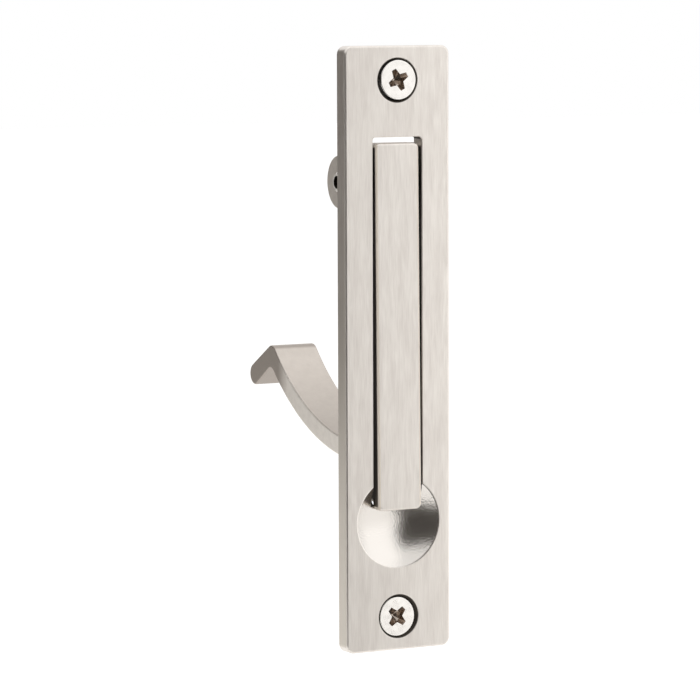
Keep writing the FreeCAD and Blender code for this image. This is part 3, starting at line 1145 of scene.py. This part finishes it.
        low = add(tree, "ShaderNodeMath", {0: given["Level"], 1: -1.0}, operation="MULTIPLY")
        step = add(tree, "ShaderNodeMath", {0: given["Level"], 1: 2.0}, operation="MULTIPLY")
        first = add(tree, "ShaderNodeCombineXYZ", {"Z": low.outputs[0]})
        offset = add(tree, "ShaderNodeCombineXYZ", {"Z": step.outputs[0]})
        holes = add(
            tree, "GeometryNodeMeshLine",
            {"Count": 2, "Start Location": first.outputs[0], "Offset": offset.outputs[0]},
        )
        which = add(tree, "GeometryNodeInputIndex")
        turned = add(
            tree, "ShaderNodeMix",
            {"Factor": which.outputs[0], 4: given["Lower Turn"], 5: given["Upper Turn"]},
            data_type="VECTOR",
        )
        shifted = add(
            tree, "ShaderNodeMix",
            {"Factor": which.outputs[0], 4: given["Lower Shift"], 5: given["Upper Shift"]},
            data_type="VECTOR",
        )
        seats = add(
            tree, "GeometryNodeSetPosition",
            {"Geometry": holes.outputs[0], "Offset": shifted.outputs[1]},
        )
        copies = add(
            tree, "GeometryNodeInstanceOnPoints",
            {"Points": seats.outputs[0], "Instance": whole.outputs[0], "Rotation": turned.outputs[1]},
        )
        real = add(tree, "GeometryNodeRealizeInstances", {"Geometry": copies.outputs[0]})
        dressed = add(
            tree, "GeometryNodeSetMaterial", {"Geometry": real.outputs[0], "Material": given["Finish"]}
        )
        add(tree, "NodeGroupOutput", {0: dressed.outputs[0]})


@dataclass(frozen=True)
class Lamp:
    """A rectangular soft lamp that looks at the part, with its power in watts."""

    name: str
    place: Triple
    size: tuple[float, float]
    power: float


@dataclass(frozen=True)
class Card:
    """A card of one shade that only the metal's mirror images show."""

    name: str
    shade: str
    place: Triple
    faces: Triple
    size: tuple[float, float]


@dataclass
class Studio:
    """Camera, white surroundings, soft lamps and dark cards that the metal mirrors."""

    azimuth: float = -27.067
    elevation: float = 5.641
    roll: float = -0.21
    place: Triple = (-274.869 * MM, -523.531 * MM, 58.207 * MM)
    lens: float = 187.738
    sensor: float = 36.0
    nearest: float = 0.01
    white: str = "ffffff"
    fill: float = 0.6
    floor_colour: str = "f2f1ef"
    floor_glow: float = 0.55
    floor_level: float = -85.0 * MM
    floor_size: tuple[float, float] = (6.0, 6.0)
    soft_lamps: tuple[Lamp, ...] = (
        Lamp("right_softbox", (0.75, -0.55, 0.25), (0.9, 0.9), 0.9),
        Lamp("top_softbox", (0.1, -0.1, 0.9), (0.9, 0.9), 0.8),
    )
    dark_cards: tuple[Card, ...] = (
        Card("front_card", "4c4946", (-0.17, -0.3, 0.013), (0.0, 1.0, 0.0), (0.56, 0.19)),
        Card("front_floor_card", "4c4946", (-0.08, -0.2, -0.08), (0.0, 0.0, 1.0), (0.3, 0.2)),
        Card("back_card", "6a6662", (-0.3, 0.45, 0.135), (0.55, -0.83, 0.0), (0.5, 0.44)),
        Card("left_card", "4c4946", (-0.45, -0.05, 0.08), (1.0, 0.0, 0.0), (0.5, 0.33)),
    )

    def build(self) -> None:
        """Set up the whole studio."""
        bpy.context.scene.view_settings.view_transform = "Standard"
        self.camera()
        self.world()
        self.floor()
        for lamp in self.soft_lamps:
            self._hang(lamp)
        for card in self.dark_cards:
            self._stand(card)

    def camera(self) -> None:
        """Stand the camera where the photograph was taken."""
        data = bpy.data.cameras.new("camera")
        data.sensor_width, data.lens = self.sensor, self.lens
        data.clip_start = self.nearest
        camera = bpy.data.objects.new("camera", data)
        bpy.context.scene.collection.objects.link(camera)
        camera.matrix_world = (
            Matrix.Translation(self.place)
            @ Matrix.Rotation(math.radians(self.azimuth), 4, "Z")
            @ Matrix.Rotation(math.radians(90 - self.elevation), 4, "X")
            @ Matrix.Rotation(math.radians(self.roll), 4, "Z")
        )
        bpy.context.scene.camera = camera

    def world(self) -> None:
        """Surround the part with white for the eye and the metal, and a soft fill for the rest."""
        world = bpy.data.worlds.new("white_room")
        bpy.context.scene.world = world
        world.use_nodes = True
        tree = world.node_tree
        tree.nodes.clear()
        strength = add(tree, "ShaderNodeMapRange", {0: self._seen(tree), 3: self.fill, 4: 1.0})
        light = add(
            tree, "ShaderNodeBackground",
            {"Color": linear(self.white), "Strength": strength.outputs[0]},
        )
        add(tree, "ShaderNodeOutputWorld", {"Surface": light.outputs[0]})

    def floor(self) -> None:
        """Lay a pale matt floor under the part, which glows only for the eye and the metal."""
        material, tree = new_material("pale_floor")
        matte = add(tree, "ShaderNodeBsdfDiffuse", {"Color": linear(self.floor_colour)})
        glow = add(
            tree, "ShaderNodeEmission", {"Color": linear(self.white), "Strength": self.floor_glow}
        )
        both = add(tree, "ShaderNodeAddShader", {0: matte.outputs[0], 1: glow.outputs[0]})
        pick = add(
            tree, "ShaderNodeMixShader", {0: self._seen(tree), 1: matte.outputs[0], 2: both.outputs[0]}
        )
        add(tree, "ShaderNodeOutputMaterial", {"Surface": pick.outputs[0]})
        self._flat("floor", (0.0, 0.0, self.floor_level), (0.0, 0.0, 1.0), self.floor_size, material)

    def _stand(self, card: Card) -> None:
        """Stand a card where the metal shows a darker room.

        Args:
            card: The card.
        """
        material, tree = new_material(card.name)
        glow = add(tree, "ShaderNodeEmission", {"Color": linear(card.shade), "Strength": 1.0})
        add(tree, "ShaderNodeOutputMaterial", {"Surface": glow.outputs[0]})
        flat = self._flat(card.name, card.place, card.faces, card.size, material)
        flat.visible_camera = flat.visible_diffuse = flat.visible_shadow = False

    def _flat(
        self, name: str, place: Triple, faces: Triple, size: tuple[float, float],
        material: bpy.types.Material,
    ) -> bpy.types.Object:
        """Add a flat rectangle that isn't part of the object.

        Args:
            name: The rectangle's name.
            place: Its centre.
            faces: Its normal.
            size: Its width and height.
            material: Its finish.

        Returns:
            The rectangle.
        """
        turn = Vector(faces).to_track_quat("Z", "Y").to_matrix().to_4x4()
        spot = Matrix.Translation(place) @ turn
        corners = [
            spot @ Vector((x * size[0] / 2, y * size[1] / 2, 0.0))
            for x, y in ((-1, -1), (1, -1), (1, 1), (-1, 1))
        ]
        mesh = bpy.data.meshes.new(name)
        mesh.from_pydata(corners, [], [(0, 1, 2, 3)])
        mesh.materials.append(material)
        card = bpy.data.objects.new(name, mesh)
        bpy.context.scene.collection.objects.link(card)
        return card

    def _hang(self, lamp: Lamp) -> None:
        """Hang a lamp.

        Args:
            lamp: The lamp.
        """
        data = bpy.data.lights.new(lamp.name, "AREA")
        data.shape, data.energy = "RECTANGLE", lamp.power
        data.size, data.size_y = lamp.size
        item = bpy.data.objects.new(lamp.name, data)
        bpy.context.scene.collection.objects.link(item)
        turn = (-Vector(lamp.place)).to_track_quat("-Z", "Y").to_matrix().to_4x4()
        item.matrix_world = Matrix.Translation(lamp.place) @ turn

    @staticmethod
    def _seen(tree: bpy.types.NodeTree) -> bpy.types.NodeSocket:
        """Tell whether a ray comes from the eye, from a mirror image or through glass.

        Args:
            tree: The tree that asks.

        Returns:
            1 for such a ray and 0 for light on a matte surface.
        """
        path = add(tree, "ShaderNodeLightPath")
        some = add(
            tree, "ShaderNodeMath",
            {0: path.outputs["Is Camera Ray"], 1: path.outputs["Is Glossy Ray"]}, operation="MAXIMUM",
        )
        return add(
            tree, "ShaderNodeMath",
            {0: some.outputs[0], 1: path.outputs["Is Transmission Ray"]}, operation="MAXIMUM",
        ).outputs[0]


def main() -> None:
    """Dress each sub-assembly, set the screws and stand the studio round it."""
    logging.basicConfig(level=logging.INFO, format="%(name)s: %(message)s")
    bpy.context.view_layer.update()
    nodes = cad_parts
    plate = FacePlate(nodes["face_plate"])
    for piece in (plate, PullLever(nodes["pull_lever"]), PivotPin(nodes["pivot_pin"])):
        piece.dress()
        LOG.info("%s dressed in %s", piece.node.name, piece.node.data.materials[0].name)
    pair = MountingScrews(plate.screw_level).build()
    LOG.info("%s has %d faces", pair.name, len(pair.data.polygons))
    Studio().build()


if __name__ == "__main__":
    main()
